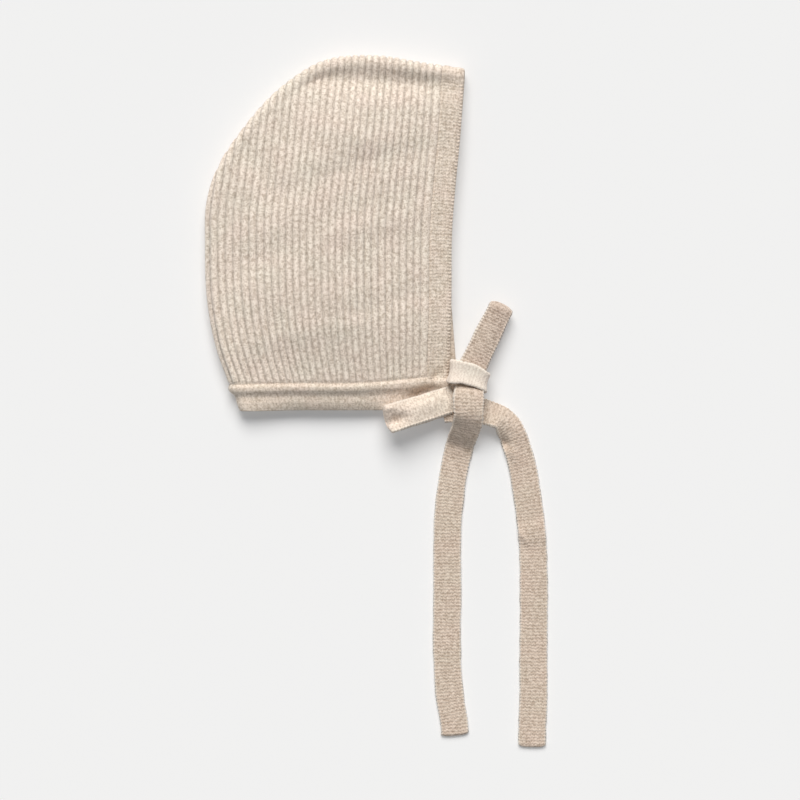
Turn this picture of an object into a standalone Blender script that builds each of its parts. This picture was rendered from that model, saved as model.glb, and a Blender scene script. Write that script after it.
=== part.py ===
"""Rib-knitted baby bonnet, lying on its side with its ties in a bow.

Metres, +Z up. The bonnet is drawn on a plan whose origin is the front corner of its neck edge:
+X runs forward, out of the face opening, and +Y runs up to the crown. The near side is the upper
layer of cloth and the far side lies on the floor. At the end the whole bonnet is moved so that
the middle of its footprint is the origin.
"""

import math

import bmesh
import bpy
import numpy as np

# Bonnet
HEIGHT = 0.177  # neck edge to the top of the crown
DEPTH = 0.1215  # front corner of the neck edge to the rearmost point
FACE_BAND_WIDTH = 0.0115
NECK_BAND_WIDTH = 0.0138
BAND_WALL = 0.0024  # the bands are knitted double
PANEL_WALL = 0.0018  # in the grooves between the ribs
RIB_RELIEF = 0.0009  # how far a rib stands out of its grooves
RIB_COUNT = 31  # on each side
GAP = 0.0004  # between pieces that are sewn together or lie on each other

# How the bonnet lies
NEAR_HEIGHT = 0.0148  # middle of the near side's cloth, where it stands highest
MOUTH_HEIGHT = 0.0092  # the same at the face and neck edges
MOUTH_RUN = 0.0600  # how far in from those edges it reaches its full height
SEAM_HEIGHT = 0.0050  # where the two sides meet
TURN_WIDTH = 0.0034  # of the turn of the cloth at the silhouette, seen from above
TURN_RISE = 0.0034  # of the near side's half of that turn
TURN_FADE = 0.0250  # how far in the plan gives way for the cloth in the turn
DOME_RUN = 0.0450  # how far in from the silhouette the near side reaches its full height
CORNER_DROP = 0.0048  # how far the bow pulls the near side's front corner down
CORNER_RUN_X = 0.0300  # how far that reaches along the neck edge
CORNER_RUN_Y = 0.0200  # how far along the face edge
CORNER_UP = 0.0120  # where it is deepest, above the neck edge
NECK_RISE = 0.0034  # how far the neck band climbs towards the bow
NECK_RISE_RUN = 0.0520
FAR_PEEP = 0.0058  # how far the far side's front corner shows past the near one
FAR_PEEP_RUN = 0.0540
REAR_RIB_LEAN = 0.14  # forward lean of the rearmost rib above the back

# Ties and bow
TIE_WIDTH = 0.0136
TIE_WALL = 0.0020
WRAP_WIDTH = 0.0118
WRAP_LENGTH = 0.0198  # across the knot, between the middles of the wrap's two ends
WRAP_SAG = 0.0018  # how far those ends lie below its middle on the plan
WRAP_TWIST = 7.0  # degrees that it is turned at those ends
WRAP_HEIGHT = 0.0104  # between the middles of its upper and lower run
WRAP_SLACK = 0.0014  # between the wrap and the tie that runs through it
WRAP_ROUNDNESS = (4.0, 2.0)  # of its upper and lower run: 2 is an ellipse, more is squarer
KNOT_FORWARD = 0.0100  # the knot's middle, from the front corner of the neck edge
KNOT_UP = 0.0168
KNOT_HEIGHT = 0.0103
KNOT_HEADING = -17.5  # degrees, the way the wrap crosses the knot on the plan
KNOT_TILT = -8.0  # degrees, its front end lies lower
UPPER_LOOP_START = -0.0010  # forward of the knot's middle
UPPER_LOOP_LENGTH = 0.0405
UPPER_LOOP_WIDTHS = (0.0142, 0.0124)  # at the knot, at its end
UPPER_LOOP_HEADING = 64.0
UPPER_LOOP_HEIGHTS = (0.0030, 0.0052)  # between its two layers: in the knot, at its end
UPPER_LOOP_FALL = 0.0034  # of its upper layer, from the knot to its end
UPPER_LOOP_TILT = 9.0
LEFT_LOOP_START = (0.0029, 0.0056)  # on the plan
LEFT_LOOP_LENGTH = 0.0385
LEFT_LOOP_WIDTHS = (0.0132, 0.0142)
LEFT_LOOP_HEADING = 197.5
LEFT_LOOP_HEIGHTS = (0.0023, 0.0039)
LEFT_LOOP_TOP = 0.0098  # middle of its upper layer where it starts
LEFT_LOOP_FALL = -0.0058
LEFT_LOOP_TILT = 4.5
LEFT_LOOP_SPREAD = -4.0  # degrees between the headings of its two layers
UPPER_LOOP_SPREAD = 0.0
TAIL_LENGTH = 0.1790  # straight, from the knot's middle to the end of the left tail

# Silhouette of the side, from below the neck edge up to where the rearmost rib leaves it
BACK_ROWS = (
    # height, depth: shares
    (-0.050, 0.852),
    (0.000, 0.873),
    (0.085, 0.911),
    (0.169, 0.955),
    (0.297, 0.993),
    (0.466, 1.004),
    (0.593, 0.997),
)
# From there over the crown and past the top of the face edge
CROWN_ROWS = (
    # depth, height: shares
    (0.957, 0.679),
    (0.848, 0.797),
    (0.678, 0.921),
    (0.510, 0.990),
    (0.322, 1.004),
    (0.095, 0.982),
    (-0.070, 0.967),
    (-0.130, 0.960),
)
FACE_ROWS = (
    # height, how far the face edge lies forward of the front corner: shares of height, depth
    (0.000, -0.006),
    (0.140, 0.002),
    (0.310, 0.009),
    (0.520, 0.013),
    (0.640, 0.027),
    (0.760, 0.044),
    (0.960, 0.063),
)
SEAM_ROWS = (
    # share along the silhouette, degrees that the seam is turned to the near side
    (0.00, 0.0),
    (0.45, 1.0),
    (0.62, 12.0),
    (0.80, 26.0),
    (1.00, 30.0),
)
DENT_ROWS = (
    # middle: shares of depth and height; heading in degrees; half length and half width: shares
    # of depth; how deep: share of the near height
    (0.310, 0.925, 3.0, 0.330, 0.055, 0.25),
    (0.800, 0.700, 52.0, 0.220, 0.055, 0.06),
    (0.480, 0.330, 75.0, 0.300, 0.110, -0.05),
    (0.830, 0.260, 100.0, 0.220, 0.070, -0.06),
    (0.300, 0.560, 80.0, 0.300, 0.080, 0.05),
)
RIB_ROWS = (
    # share of the pitch, share of the relief
    (0.00, 0.0),
    (0.30, 1.0),
    (0.70, 1.0),
)
NECK_ROWS = (
    # share of the band's width up from the neck edge, outer face as a share of its wall
    (0.03, 0.04),
    (0.10, 0.20),
    (0.34, 0.36),
    (0.52, 0.40),
    (0.66, 0.60),
    (0.80, 0.86),
    (0.92, 0.66),
    (1.00, 0.20),
)
FACE_BAND_ROWS = (
    # share of the band's width from the ribs to the face edge, outer face as a share of its wall
    (0.00, 0.30),
    (0.06, 0.50),
    (0.50, 0.52),
    (0.90, 0.48),
    (1.00, 0.18),
)
BAND_ROWS = (
    # share of half the band's width, share of half its wall
    (0.90, 1.0),
    (1.00, 0.0),
)
LEFT_TAIL_ROWS = (
    # shares of the tail's length: down from the knot's middle, forward of it; height as a share
    # of the height in the wrap; tilt and heading in degrees
    (0.0190, 0.0020, 1.00, -8.0, -92.0),
    (0.0545, 0.0022, 1.00, -8.0, -91.0),
    (0.0908, 0.0000, 1.01, -7.0, -91.0),
    (0.1047, 0.0000, 0.98, -6.0, -94.0),
    (0.1327, -0.0047, 0.83, -4.0, -104.0),
    (0.1600, -0.0147, 0.60, -3.0, -108.0),
    (0.1760, -0.0206, 0.40, -2.0, -109.0),
    (0.1900, -0.0247, 0.20, 0.0, -108.0),
    (0.2050, -0.0290, 0.06, 0.0, -106.0),
    (0.2304, -0.0355, 0.00, 0.0, -104.0),
    (0.2863, -0.0466, 0.00, 0.0, -99.0),
    (0.3422, -0.0536, 0.00, 0.0, -96.0),
    (0.3980, -0.0592, 0.00, 0.0, -94.0),
    (0.4539, -0.0606, 0.00, 0.0, -91.0),
    (0.6215, -0.0606, 0.00, 0.0, -90.0),
    (0.7332, -0.0620, 0.00, 0.0, -90.0),
    (0.7890, -0.0606, 0.00, 0.0, -88.0),
    (0.8450, -0.0578, 0.00, 0.0, -86.0),
    (0.9008, -0.0522, 0.00, 0.0, -82.0),
    (0.9567, -0.0425, 0.00, 0.0, -79.0),
    (1.0000, -0.0383, 0.00, 0.0, -75.0),
)
RIGHT_TAIL_ROWS = (
    # the same, from under the left tail on
    (0.0845, -0.0110, 0.69, 12.0, -8.0),
    (0.0895, 0.0204, 0.53, 2.0, -11.0),
    (0.0975, 0.0478, 0.42, -8.0, -17.0),
    (0.1042, 0.0693, 0.38, -12.0, -24.0),
    (0.1137, 0.0897, 0.34, -12.0, -38.0),
    (0.1341, 0.1070, 0.25, -6.0, -54.0),
    (0.1587, 0.1207, 0.15, 2.0, -67.0),
    (0.1830, 0.1293, 0.09, 0.0, -72.0),
    (0.2095, 0.1385, 0.04, 0.0, -74.0),
    (0.2500, 0.1494, 0.00, 0.0, -76.0),
    (0.3142, 0.1600, 0.00, 0.0, -79.0),
    (0.3701, 0.1684, 0.00, 0.0, -82.0),
    (0.3994, 0.1720, 0.00, 0.0, -83.0),
    (0.4350, 0.1755, 0.12, 0.0, -85.0),
    (0.4750, 0.1785, 0.00, 0.0, -87.0),
    (0.5098, 0.1796, 0.00, 0.0, -88.0),
    (0.6215, 0.1810, 0.00, 0.0, -90.0),
    (0.7891, 0.1796, 0.00, 0.0, -90.5),
    (0.9008, 0.1796, 0.00, 0.0, -91.0),
    (0.9707, 0.1768, 0.00, 0.0, -92.0),
    (1.0321, 0.1754, 0.00, 0.0, -93.0),
)

# How finely the shapes are cut
TURN_STEPS = (0.0, 0.0018, 0.0036, 0.0056)  # distances from the seam
DENT_STEPS = (0.0085, 0.0120, 0.0160, 0.0220)
PANEL_STEPS = 6  # over the rest of a rib
BAND_STEPS = 9
TAIL_STEPS = 36
TAIL_CROWDING = 1.4  # more than 1 cuts it finer towards the knot
LOOP_STEPS = 7  # along each layer
FOLD_STEPS = 6  # round the fold at its end
WRAP_STEPS = 28

FAR_HEIGHT = PANEL_WALL / 2 + RIB_RELIEF * 0.6  # the ribs are pressed flat where they rest
KNOT = np.array([KNOT_FORWARD, KNOT_UP, KNOT_HEIGHT])

MATERIALS = {
    # sRGB colour in shares, roughness
    "ribbed_knit": ((0.85, 0.80, 0.74), 0.95),
    "band_knit": ((0.84, 0.79, 0.73), 0.95),
    "tie_knit": ((0.83, 0.77, 0.71), 0.95),
}


def smooth(share):
    share = np.clip(share, 0.0, 1.0)
    return share * share * (3.0 - 2.0 * share)


def curve(keys, values, at):
    """A smooth curve through values at rising keys, held level beyond its ends."""
    keys = np.asarray(keys, float)
    values = np.asarray(values, float)
    slopes = np.gradient(values, keys)
    cell = np.clip(np.searchsorted(keys, at) - 1, 0, len(keys) - 2)
    span = keys[cell + 1] - keys[cell]
    t = np.clip((at - keys[cell]) / span, 0.0, 1.0)
    rise = smooth(t)
    start = t * (1.0 - t) ** 2 * span * slopes[cell]
    end = t * t * (t - 1.0) * span * slopes[cell + 1]
    return values[cell] * (1.0 - rise) + values[cell + 1] * rise + start + end


def column(rows, index):
    return np.array([row[index] for row in rows])


def unit(vectors):
    return vectors / np.linalg.norm(vectors, axis=-1, keepdims=True)


def seam_line(count=600):
    """The silhouette moved in to the middle of the cloth: points, ways in, shares along it, and
    the index where the rearmost rib leaves it."""
    back = np.array([(-depth * DEPTH, height * HEIGHT) for height, depth in BACK_ROWS])
    crown = np.array([(-depth * DEPTH, height * HEIGHT) for depth, height in CROWN_ROWS])
    points = np.vstack([back, crown])
    run = np.concatenate([[0.0], np.cumsum(np.linalg.norm(np.diff(points, axis=0), axis=1))])
    at = np.linspace(0.0, run[-1], count)
    line = np.column_stack([curve(run, points[:, 0], at), curve(run, points[:, 1], at)])
    ahead = unit(np.gradient(line, axis=0))
    inward = np.column_stack([ahead[:, 1], -ahead[:, 0]])
    line = line + inward * (PANEL_WALL / 2 + RIB_RELIEF)
    turn = int(np.searchsorted(at, run[len(back) - 1]))
    return line, inward, at / run[-1], turn


SEAM, SEAM_INWARD, SEAM_SHARE, SEAM_TURN = seam_line()


def back_x(y):
    """The rearmost rib: on the seam up to where the crown cuts it, and straight beyond."""
    turn_x, turn_y = SEAM[SEAM_TURN]
    on_seam = np.interp(y, SEAM[: SEAM_TURN + 1, 1], SEAM[: SEAM_TURN + 1, 0])
    return np.where(y <= turn_y, on_seam, turn_x + REAR_RIB_LEAN * (y - turn_y))


def crown_y(x):
    return np.interp(x, SEAM[SEAM_TURN:, 0], SEAM[SEAM_TURN:, 1])


def face_x(y, far):
    x = DEPTH * curve(HEIGHT * column(FACE_ROWS, 0), column(FACE_ROWS, 1), y)
    peep = FAR_PEEP * np.clip(1.0 - y / FAR_PEEP_RUN, 0.0, 1.0)
    return x + peep if far else x


def neck_top(x):
    return NECK_BAND_WIDTH + NECK_RISE * smooth(1.0 + x / NECK_RISE_RUN)


def from_seam(points):
    """Distance in from the seam, and the index of the seam's nearest point."""
    offsets = points[:, None] - SEAM[None]
    nearest = np.argmin((offsets**2).sum(axis=2), axis=1)
    own = offsets[np.arange(len(points)), nearest]
    return np.maximum((own * SEAM_INWARD[nearest]).sum(axis=1), 0.0), nearest


def lift(points):
    """How far the near side stands above the turn at the silhouette."""
    away, _ = from_seam(points)
    x, y = points.T
    from_mouth = smooth((face_x(y, False) - x) / MOUTH_RUN) * smooth(y / MOUTH_RUN)
    full = MOUTH_HEIGHT + (NEAR_HEIGHT - MOUTH_HEIGHT) * from_mouth
    height = (full - SEAM_HEIGHT - TURN_RISE) * smooth(away / DOME_RUN)
    for depth, up, heading, half_length, half_width, sunk in DENT_ROWS:
        along = np.radians(180.0 - heading)
        dx = x + depth * DEPTH
        dy = y - up * HEIGHT
        u = (dx * np.cos(along) + dy * np.sin(along)) / (half_length * DEPTH)
        v = (dy * np.cos(along) - dx * np.sin(along)) / (half_width * DEPTH)
        dent = np.exp(-((u * u) ** 2) - v * v) * smooth(away / (2.0 * TURN_WIDTH))
        height = height - sunk * NEAR_HEIGHT * dent
    corner = (x / CORNER_RUN_X) ** 2 + ((y - CORNER_UP) / CORNER_RUN_Y) ** 2
    return height - CORNER_DROP * np.exp(-corner)


def cloth(x, y, far, start=0.0):
    """Middle of the cloth at plan points of one side, and its outward normals.

    Near the silhouette a point is carried round the turn by its distance from the seam, which
    grows by start.
    """
    points = np.column_stack([x, y])
    away, nearest = from_seam(points)
    away = away + start
    inward = SEAM_INWARD[nearest]
    seam_turn = np.radians(curve(column(SEAM_ROWS, 0), column(SEAM_ROWS, 1), SEAM_SHARE[nearest]))
    first = -seam_turn if far else seam_turn
    fall = SEAM_HEIGHT - FAR_HEIGHT if far else TURN_RISE
    quarter = math.pi / 2 * math.sqrt((TURN_WIDTH**2 + fall**2) / 2)
    angle = np.minimum(first + away / quarter * math.pi / 2, math.pi / 2)
    past = away - quarter * (1.0 - first / (math.pi / 2))
    inset = np.where(past < 0.0, TURN_WIDTH * (1.0 - np.cos(angle)), TURN_WIDTH + past)
    moved = (inset - away) * (1.0 - smooth(past / TURN_FADE))
    plan = points + inward * moved[:, None]
    height = np.where(angle < 0.0, TURN_RISE, fall) * np.sin(angle)
    side = -1.0 if far else 1.0
    out = np.column_stack(
        [-inward * (np.cos(angle) / TURN_WIDTH)[:, None], side * np.sin(angle) / fall]
    )
    z = SEAM_HEIGHT + side * height
    if not far:
        step = 0.0004
        level = lift(plan)
        slope_x = (lift(plan + [step, 0.0]) - level) / step
        slope_y = (lift(plan + [0.0, step]) - level) / step
        z = z + level
        out[:, 0] -= out[:, 2] * slope_x
        out[:, 1] -= out[:, 2] * slope_y
    return np.column_stack([plan, z]), unit(out)


def rest_on_floor(points):
    points[:, 2] = np.maximum(points[:, 2], 0.0)
    return points


def add_piece(name, vertices, faces, material):
    mesh = bpy.data.meshes.new(name)
    mesh.from_pydata([tuple(point) for point in vertices], [], faces)
    shape = bmesh.new()
    shape.from_mesh(mesh)
    bmesh.ops.recalc_face_normals(shape, faces=shape.faces)
    shape.to_mesh(mesh)
    shape.free()
    mesh.materials.append(material)
    piece = bpy.data.objects.new(name, mesh)
    bpy.context.scene.collection.objects.link(piece)
    return piece


def add_sweep(name, sections, material, ring=False):
    """A solid through sections of equally many points, capped unless it is a ring."""
    count, size, _ = sections.shape
    faces = []
    for k in range(count if ring else count - 1):
        here = k * size
        there = (k + 1) % count * size
        for i in range(size):
            j = (i + 1) % size
            faces.append((here + i, here + j, there + j, there + i))
    if not ring:
        faces.append(tuple(range(size)))
        faces.append(tuple(range((count - 1) * size, count * size)))
    return add_piece(name, sections.reshape(-1, 3), faces, material)


def column_tops(shares, far):
    """Where each rib line, a share of the way back, meets the crown."""
    low = np.full(len(shares), SEAM[SEAM_TURN, 1])
    high = np.full(len(shares), HEIGHT)
    for _ in range(40):
        middle = (low + high) / 2
        inside = crown_y(rib_x(shares, middle, far)) > middle
        low = np.where(inside, middle, low)
        high = np.where(inside, high, middle)
    return low


def rib_x(shares, y, far):
    front = face_x(y, far) - FACE_BAND_WIDTH - GAP
    return front + shares * (back_x(y) - front)


def add_panel(name, far, material):
    sub = len(RIB_ROWS)
    pitch_shares = [rib + row[0] for rib in range(RIB_COUNT) for row in RIB_ROWS] + [RIB_COUNT]
    relief = [row[1] for _ in range(RIB_COUNT) for row in RIB_ROWS] + [0.0]
    shares = np.array(pitch_shares) / RIB_COUNT
    relief = np.array(relief) * RIB_RELIEF
    tops = column_tops(shares, far)
    bottoms = neck_top(rib_x(shares, NECK_BAND_WIDTH, far)) + GAP
    last = DENT_STEPS[-1]
    rows = [tops - step for step in TURN_STEPS + DENT_STEPS]
    for k in range(1, PANEL_STEPS + 1):
        rows.append(tops - last + (bottoms - tops + last) * k / PANEL_STEPS)
    outer = []
    inner = []
    for y in rows:
        middle, out = cloth(rib_x(shares, y, far), y, far, GAP / 2)
        outer.append(rest_on_floor(middle + out * (PANEL_WALL / 2 + relief)[:, None]))
        inner.append((middle - out * PANEL_WALL / 2)[::sub])
    wide = len(shares)
    narrow = RIB_COUNT + 1
    inside = wide * len(rows)
    faces = []
    for r in range(len(rows) - 1):
        for c in range(wide - 1):
            a = r * wide + c
            faces.append((a, a + 1, a + wide + 1, a + wide))
        for c in range(narrow - 1):
            a = inside + r * narrow + c
            faces.append((a, a + narrow, a + narrow + 1, a + 1))
        for c, d in ((0, 0), (wide - 1, narrow - 1)):
            a = r * wide + c
            b = inside + r * narrow + d
            faces.append((a, a + wide, b + narrow, b))
    for r in (0, len(rows) - 1):
        for c in range(narrow - 1):
            a = r * wide + c * sub
            b = inside + r * narrow + c
            faces.append(tuple(range(a, a + sub + 1)) + (b + 1, b))
    return add_piece(name, np.vstack(outer + inner), faces, material)


def band_section(rows, wall, points, outs, far):
    """Outer face by the rows, then the inner face back."""
    outer = points + outs * (column(rows, 1) * wall)[:, None]
    edge = np.minimum(column(rows, 1), 0.5)
    inner = points - outs * (edge * wall)[:, None]
    section = np.vstack([outer, inner[::-1]])
    return rest_on_floor(section) if far else section


def add_face_band(name, material):
    across = column(FACE_BAND_ROWS, 0)
    sections = []
    for far in (False, True):
        steps = []
        forward = -FACE_BAND_WIDTH * (1.0 - across)
        low = np.full(len(across), HEIGHT / 2)
        high = np.full(len(across), HEIGHT)
        for _ in range(40):
            middle = (low + high) / 2
            inside = crown_y(face_x(middle, far) + forward) > middle
            low = np.where(inside, middle, low)
            high = np.where(inside, high, middle)
        bottom = neck_top(face_x(NECK_BAND_WIDTH, far) + forward) + GAP
        for step in TURN_STEPS + DENT_STEPS:
            steps.append(low - step)
        start = low - DENT_STEPS[-1]
        for k in range(1, BAND_STEPS + 1):
            steps.append(start + (bottom - start) * k / BAND_STEPS)
        side = []
        for y in steps:
            points, outs = cloth(face_x(y, far) + forward, y, far)
            side.append(band_section(FACE_BAND_ROWS, BAND_WALL, points, outs, far))
        sections += side[1:] if far else side[::-1]
    return add_sweep(name, np.array(sections), material)


def add_neck_band(name, material):
    across = column(NECK_ROWS, 0)
    sections = []
    for far in (False, True):
        front_y = NECK_BAND_WIDTH + NECK_RISE
        front = face_x(across * front_y, far)
        steps = []
        y_back = across * NECK_BAND_WIDTH
        back = back_x(y_back)
        for step in TURN_STEPS + DENT_STEPS:
            steps.append(back + step)
        start = back + DENT_STEPS[-1]
        for k in range(1, BAND_STEPS + 1):
            steps.append(start + (front - start) * k / BAND_STEPS)
        side = []
        for x in steps:
            y = across * neck_top(x)
            points, outs = cloth(x, y, far)
            side.append(band_section(NECK_ROWS, BAND_WALL, points, outs, far))
        sections += side[1:] if far else side[::-1]
    return add_sweep(name, np.array(sections), material)


def flat_section(centre, across, out, width):
    """A flat band's section: across is the way of its width, out the way it faces."""
    upper = [(share, wall) for share, wall in BAND_ROWS]
    half = upper + [(share, -wall) for share, wall in upper[-2::-1]]
    whole = half + [(-share, wall) for share, wall in half[::-1]]
    return [
        centre + across * share * width / 2 + out * wall * TIE_WALL / 2 for share, wall in whole
    ]


def add_strap(name, centres, headings, tilts, widths, material, ring=False):
    """A flat band along the centres. Its width lies square to the heading on the plan, and a
    positive tilt lifts its left edge."""
    if ring:
        ahead = unit(np.roll(centres, -1, axis=0) - np.roll(centres, 1, axis=0))
    else:
        ahead = unit(np.gradient(centres, axis=0))
    heading = np.radians(headings)
    tilt = np.radians(tilts)
    level = np.column_stack([np.sin(heading), -np.cos(heading), np.zeros(len(heading))])
    across = level * np.cos(tilt)[:, None]
    across[:, 2] = -np.sin(tilt)
    across = unit(across - ahead * (across * ahead).sum(axis=1)[:, None])
    out = np.cross(across, ahead)
    places = zip(centres, across, out, np.broadcast_to(widths, len(centres)))
    sections = np.array([flat_section(*place) for place in places])
    sections[..., 2] = np.maximum(sections[..., 2], 0.0)
    return add_sweep(name, sections, material, ring)


def tie_height():
    """Middle of the tie under the wrap's upper run, at the knot's middle."""
    return KNOT_HEIGHT + WRAP_HEIGHT / 2 - TIE_WALL - WRAP_SLACK


def add_wrap(name, material):
    turn = np.linspace(0.0, 2 * math.pi, WRAP_STEPS, endpoint=False)
    power = np.where(turn < math.pi, 2.0 / WRAP_ROUNDNESS[0], 2.0 / WRAP_ROUNDNESS[1])
    along = np.sign(np.cos(turn)) * np.abs(np.cos(turn)) ** power * WRAP_LENGTH / 2
    up = np.sign(np.sin(turn)) * np.abs(np.sin(turn)) ** power * WRAP_HEIGHT / 2
    tilt = math.radians(KNOT_TILT)
    heading = math.radians(KNOT_HEADING)
    forward = along * math.cos(tilt) - up * math.sin(tilt)
    centres = np.column_stack(
        [
            KNOT[0] + forward * math.cos(heading),
            KNOT[1] + forward * math.sin(heading),
            KNOT[2] + along * math.sin(tilt) + up * math.cos(tilt),
        ]
    )
    centres[:, 1] -= WRAP_SAG * (2 * along / WRAP_LENGTH) ** 2
    headings = KNOT_HEADING + WRAP_TWIST * np.cos(turn) ** 2
    return add_strap(name, centres, headings, np.zeros(WRAP_STEPS), WRAP_WIDTH, material, True)


def add_tail(name, rows, material):
    """A tie's hanging end, cut finer near the knot, where it bends."""
    steps = np.hypot(np.diff(column(rows, 0)), np.diff(column(rows, 1)))
    run = np.concatenate([[0.0], np.cumsum(steps)])
    at = run[-1] * np.linspace(0.0, 1.0, TAIL_STEPS) ** TAIL_CROWDING
    down, forward, level, tilt, heading = (curve(run, column(rows, i), at) for i in range(5))
    floor = TIE_WALL / 2
    centres = np.column_stack(
        [
            KNOT[0] + forward * TAIL_LENGTH,
            KNOT[1] - down * TAIL_LENGTH,
            floor + level * (tie_height() - floor),
        ]
    )
    return add_strap(name, centres, heading, tilt, TIE_WIDTH, material)


def add_loop(name, start, heading, spread, length, widths, heights, fall, tilt, material):
    """A loop laid flat: its upper layer runs out from start, folds, and comes back below, turned
    by spread about the fold."""
    radius = heights[1] / 2
    straight = length - radius - TIE_WALL / 2
    out_at = np.linspace(GAP / 2, straight, LOOP_STEPS + 1)
    share = smooth(out_at / straight)
    upper = start[2] - fall * share
    lower = upper - heights[0] - (heights[1] - heights[0]) * share
    turn = np.linspace(math.pi / 2, -math.pi / 2, FOLD_STEPS + 1)[1:-1]
    fold_at = straight + radius * np.cos(turn)
    fold_z = (upper[-1] + lower[-1]) / 2 + radius * np.sin(turn)
    at = np.concatenate([out_at, fold_at, out_at[::-1]])
    z = np.concatenate([upper, fold_z, lower[::-1]])
    turned = np.concatenate([np.zeros(len(out_at)), np.full(len(fold_at), spread / 2)])
    turned = np.concatenate([turned, np.full(len(out_at), spread)])
    headings = heading + turned
    way = np.radians(heading)
    back = np.radians(headings)
    end = start[:2] + straight * np.array([np.cos(way), np.sin(way)])
    beyond = at - straight
    centres = np.column_stack(
        [end[0] + beyond * np.cos(back), end[1] + beyond * np.sin(back), z]
    )
    tilts = np.full(len(at), tilt)
    wide = widths[0] + (widths[1] - widths[0]) * np.clip(at / straight, 0.0, 1.0)
    return add_strap(name, centres, headings, tilts, wide, material)


def knit_material(name):
    colour, roughness = MATERIALS[name]
    material = bpy.data.materials.new(name)
    material.use_nodes = True
    shader = material.node_tree.nodes["Principled BSDF"]
    linear = [((share + 0.055) / 1.055) ** 2.4 for share in colour]
    shader.inputs["Base Color"].default_value = (*linear, 1.0)
    shader.inputs["Roughness"].default_value = roughness
    shader.inputs["Metallic"].default_value = 0.0
    return material


def build():
    for piece in list(bpy.data.objects):
        bpy.data.objects.remove(piece, do_unlink=True)
    ribbed = knit_material("ribbed_knit")
    band = knit_material("band_knit")
    tie = knit_material("tie_knit")
    under_wrap = np.array([KNOT[0] + UPPER_LOOP_START, KNOT[1], tie_height()])
    left_start = np.array([*LEFT_LOOP_START, LEFT_LOOP_TOP])
    pieces = [
        add_panel("side_panel_near", False, ribbed),
        add_panel("side_panel_far", True, ribbed),
        add_face_band("face_band", band),
        add_neck_band("neck_band", band),
        add_wrap("bow_knot", tie),
        add_loop(
            "bow_loop_upper",
            under_wrap,
            UPPER_LOOP_HEADING,
            UPPER_LOOP_SPREAD,
            UPPER_LOOP_LENGTH,
            UPPER_LOOP_WIDTHS,
            UPPER_LOOP_HEIGHTS,
            UPPER_LOOP_FALL,
            UPPER_LOOP_TILT,
            tie,
        ),
        add_loop(
            "bow_loop_left",
            left_start,
            LEFT_LOOP_HEADING,
            LEFT_LOOP_SPREAD,
            LEFT_LOOP_LENGTH,
            LEFT_LOOP_WIDTHS,
            LEFT_LOOP_HEIGHTS,
            LEFT_LOOP_FALL,
            LEFT_LOOP_TILT,
            tie,
        ),
        add_tail("tail_left", LEFT_TAIL_ROWS, tie),
        add_tail("tail_right", RIGHT_TAIL_ROWS, tie),
    ]
    corners = np.array([vertex.co for piece in pieces for vertex in piece.data.vertices])
    low = corners.min(axis=0)
    high = corners.max(axis=0)
    middle = (low + high) / 2
    for piece in pieces:
        piece.location = (-middle[0], -middle[1], -low[2])


build()
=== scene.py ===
"""Fine knit for the baby bonnet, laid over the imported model.

The sizes and tables above KNOT are the model's, and so are the functions from seam_line to
rest_on_floor, which take the creases in too. Their plan starts at the front corner of the neck
edge, with +X out of the face opening and +Y up. PLAN_ORIGIN is that corner in the frame.
"""

import math
from typing import NamedTuple

import bmesh
import bpy
import numpy as np
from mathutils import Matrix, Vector


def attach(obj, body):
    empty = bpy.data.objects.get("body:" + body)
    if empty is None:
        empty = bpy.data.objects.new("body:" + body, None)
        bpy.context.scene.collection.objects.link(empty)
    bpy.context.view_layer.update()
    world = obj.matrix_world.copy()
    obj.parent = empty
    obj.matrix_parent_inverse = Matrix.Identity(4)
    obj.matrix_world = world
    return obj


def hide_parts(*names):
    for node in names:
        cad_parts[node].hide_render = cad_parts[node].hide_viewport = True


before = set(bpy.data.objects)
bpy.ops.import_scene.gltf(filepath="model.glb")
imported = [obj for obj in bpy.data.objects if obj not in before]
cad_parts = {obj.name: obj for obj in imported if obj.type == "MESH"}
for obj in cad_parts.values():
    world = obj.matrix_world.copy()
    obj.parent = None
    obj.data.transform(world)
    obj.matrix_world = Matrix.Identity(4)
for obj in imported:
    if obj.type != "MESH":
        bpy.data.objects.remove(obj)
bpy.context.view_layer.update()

PLAN_ORIGIN = np.array([0.0363974, -0.0048936, 0.0])

# Bonnet
HEIGHT = 0.177  # neck edge to the top of the crown
DEPTH = 0.1215  # front corner of the neck edge to the rearmost point
FACE_BAND_WIDTH = 0.0115
NECK_BAND_WIDTH = 0.0138
BAND_WALL = 0.0024  # the bands are knitted double
PANEL_WALL = 0.0018  # in the grooves between the ribs
RIB_RELIEF = 0.0009  # how far a rib stands out of its grooves
RIB_COUNT = 31  # on each side
GAP = 0.0004  # between pieces that are sewn together or lie on each other

# How the bonnet lies
NEAR_HEIGHT = 0.0148  # middle of the near side's cloth, where it stands highest
MOUTH_HEIGHT = 0.0092  # the same at the face and neck edges
MOUTH_RUN = 0.0600  # how far in from those edges it reaches its full height
SEAM_HEIGHT = 0.0050  # where the two sides meet
TURN_WIDTH = 0.0034  # of the turn of the cloth at the silhouette, seen from above
TURN_RISE = 0.0034  # of the near side's half of that turn
TURN_FADE = 0.0250  # how far in the plan gives way for the cloth in the turn
DOME_RUN = 0.0450  # how far in from the silhouette the near side reaches its full height
CORNER_DROP = 0.0048  # how far the bow pulls the near side's front corner down
CORNER_RUN_X = 0.0300  # how far that reaches along the neck edge
CORNER_RUN_Y = 0.0200  # how far along the face edge
CORNER_UP = 0.0120  # where it is deepest, above the neck edge
NECK_RISE = 0.0034  # how far the neck band climbs towards the bow
NECK_RISE_RUN = 0.0520
FAR_PEEP = 0.0058  # how far the far side's front corner shows past the near one
FAR_PEEP_RUN = 0.0540
REAR_RIB_LEAN = 0.14  # forward lean of the rearmost rib above the back

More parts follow.
